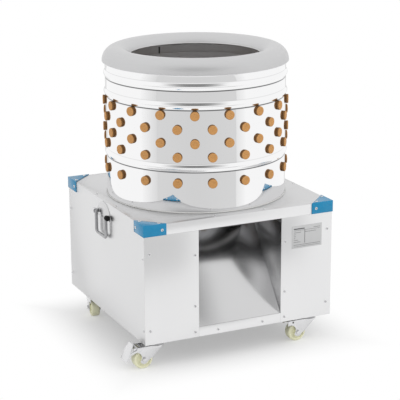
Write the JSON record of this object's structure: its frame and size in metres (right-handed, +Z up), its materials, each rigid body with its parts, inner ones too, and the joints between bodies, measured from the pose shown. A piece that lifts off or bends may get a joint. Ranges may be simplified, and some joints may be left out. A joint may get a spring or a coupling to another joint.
{
  "type": "poultry plucker",
  "caption": "Drum poultry plucker: rubber-fingered steel drum with a rolled feed ring and a spinning finger plate, on a square castor cabinet with a front feather chute.",
  "frame": {"origin": "on the floor under the drum's axis", "axes": "+Z up along the drum's axis, -Y out of the feather chute, +X to the switch box"},
  "size_m": [0.7146, 0.624, 0.8985],
  "materials": {
    "mirror_steel": "mirror polished",
    "satin_steel": "satin",
    "sheet_steel": "fine brushed",
    "guard_blue": "gloss",
    "bright_zinc": "bright plated",
    "label_white": "printed matte",
    "finger_rubber": "matte",
    "frame_paint": "semi-gloss",
    "bearing_iron": "as cast",
    "motor_paint": "semi-gloss",
    "belt_rubber": "matte",
    "black_plastic": "matte",
    "raceway_black": "greased",
    "switch_grey": "matte",
    "plate_steel": "brushed",
    "start_green": "gloss",
    "stop_red": "gloss",
    "fork_steel": "bright zinc",
    "wheel_cream": "matte"
  },
  "bodies": {
    "cabinet": {"frame_posts": "frame_paint", "frame_rails": "frame_paint", "drive_beams": "frame_paint", "castor_gussets": "frame_paint", "table_top": "sheet_steel", "front_panel_left": "sheet_steel", "front_panel_right": "sheet_steel", "front_beam": "sheet_steel", "side_panel_left": "sheet_steel", "side_panel_right": "sheet_steel", "back_panel": "sheet_steel", "corner_guards": "guard_blue", "panel_screws": "bright_zinc", "rating_plate": "label_white", "chute_floor": "sheet_steel", "chute_cheeks": "sheet_steel", "drum_pan": "sheet_steel", "drum_shell": "mirror_steel", "feed_ring": "satin_steel", "wall_fingers": "finger_rubber", "upper_bearing": "bearing_iron", "lower_bearing": "bearing_iron", "motor_plate": "frame_paint", "motor_body": "motor_paint", "fan_cover": "motor_paint", "terminal_box": "motor_paint", "drive_belt": "belt_rubber", "handle_plates": "bright_zinc", "handle_bosses": "black_plastic", "castor_plates": "bright_zinc", "castor_raceways": "raceway_black", "switch_box": "switch_grey", "cable_gland": "black_plastic"},
    "feather_drive": {"feather_plate": "plate_steel", "plate_fingers": "finger_rubber", "plate_hub": "bearing_iron", "plate_nut": "bright_zinc", "main_shaft": "plate_steel", "driven_pulley": "bearing_iron", "sweeper_blades": "plate_steel"},
    "motor_rotor": {"motor_shaft": "plate_steel", "motor_pulley": "bearing_iron"},
    "left_bail": {"bail_left": "bright_zinc"},
    "right_bail": {"bail_right": "bright_zinc"},
    "start_press": {"start_button": "start_green"},
    "stop_press": {"stop_button": "stop_red"},
    "castor_front_left": {"fork_front_left": "fork_steel", "axle_front_left": "fork_steel"},
    "roller_front_left": {"wheel_front_left": "wheel_cream"},
    "brake_front_left": {"pedal_front_left": "fork_steel"},
    "castor_front_right": {"fork_front_right": "fork_steel", "axle_front_right": "fork_steel"},
    "roller_front_right": {"wheel_front_right": "wheel_cream"},
    "castor_back_left": {"fork_back_left": "fork_steel", "axle_back_left": "fork_steel"},
    "roller_back_left": {"wheel_back_left": "wheel_cream"},
    "castor_back_right": {"fork_back_right": "fork_steel", "axle_back_right": "fork_steel"},
    "roller_back_right": {"wheel_back_right": "wheel_cream"},
    "brake_back_right": {"pedal_back_right": "fork_steel"}
  },
  "joints": [
    {"name": "plate_spin", "type": "hinge", "parent": "cabinet", "child": "feather_drive", "pos_m": [0, 0, 0.454], "axis": [0, 0, 1], "continuous": true},
    {"name": "motor_spin", "type": "hinge", "parent": "cabinet", "child": "motor_rotor", "pos_m": [0, 0.185, 0.133], "axis": [0, 0, 1], "continuous": true},
    {"name": "left_bail_lift", "type": "hinge", "parent": "cabinet", "child": "left_bail", "pos_m": [-0.3183, 0, 0.405], "axis": [0, 1, 0], "range_deg": [0, 95]},
    {"name": "right_bail_lift", "type": "hinge", "parent": "cabinet", "child": "right_bail", "pos_m": [0.3183, 0, 0.405], "axis": [0, -1, 0], "range_deg": [0, 95]},
    {"name": "start_button_press", "type": "slide", "parent": "cabinet", "child": "start_press", "axis": [-1, 0, 0], "range_m": [0, 0.004], "stiffness_N_per_m": 500},
    {"name": "stop_button_press", "type": "slide", "parent": "cabinet", "child": "stop_press", "axis": [-1, 0, 0], "range_m": [0, 0.004], "stiffness_N_per_m": 500},
    {"name": "front_left_swivel", "type": "hinge", "parent": "cabinet", "child": "castor_front_left", "pos_m": [-0.257, -0.257, 0.07], "axis": [0, 0, 1], "continuous": true},
    {"name": "front_left_roll", "type": "hinge", "parent": "castor_front_left", "child": "roller_front_left", "pos_m": [-0.299, -0.257, 0.03], "axis": [0, -1, 0], "continuous": true},
    {"name": "front_left_brake_press", "type": "hinge", "parent": "castor_front_left", "child": "brake_front_left", "pos_m": [-0.316, -0.257, 0.064], "axis": [0, -1, 0], "range_deg": [0, 15], "stiffness_Nm_per_rad": 2},
    {"name": "front_right_swivel", "type": "hinge", "parent": "cabinet", "child": "castor_front_right", "pos_m": [0.257, -0.257, 0.07], "axis": [0, 0, 1], "continuous": true},
    {"name": "front_right_roll", "type": "hinge", "parent": "castor_front_right", "child": "roller_front_right", "pos_m": [0.215, -0.257, 0.03], "axis": [0, -1, 0], "continuous": true},
    {"name": "back_left_swivel", "type": "hinge", "parent": "cabinet", "child": "castor_back_left", "pos_m": [-0.257, 0.257, 0.07], "axis": [0, 0, 1], "continuous": true},
    {"name": "back_left_roll", "type": "hinge", "parent": "castor_back_left", "child": "roller_back_left", "pos_m": [-0.26573, 0.21592, 0.03], "axis": [0.9781, -0.2079, 0], "continuous": true},
    {"name": "back_right_swivel", "type": "hinge", "parent": "cabinet", "child": "castor_back_right", "pos_m": [0.257, 0.257, 0.07], "axis": [0, 0, 1], "continuous": true},
    {"name": "back_right_roll", "type": "hinge", "parent": "castor_back_right", "child": "roller_back_right", "pos_m": [0.299, 0.257, 0.03], "axis": [0, 1, 0], "continuous": true},
    {"name": "back_right_brake_press", "type": "hinge", "parent": "castor_back_right", "child": "brake_back_right", "pos_m": [0.316, 0.257, 0.064], "axis": [0, 1, 0], "range_deg": [0, 15], "stiffness_Nm_per_rad": 2}
  ],
  "couplings": [
    {"joint": "motor_spin", "follows": "plate_spin", "ratio": 3.75}
  ]
}
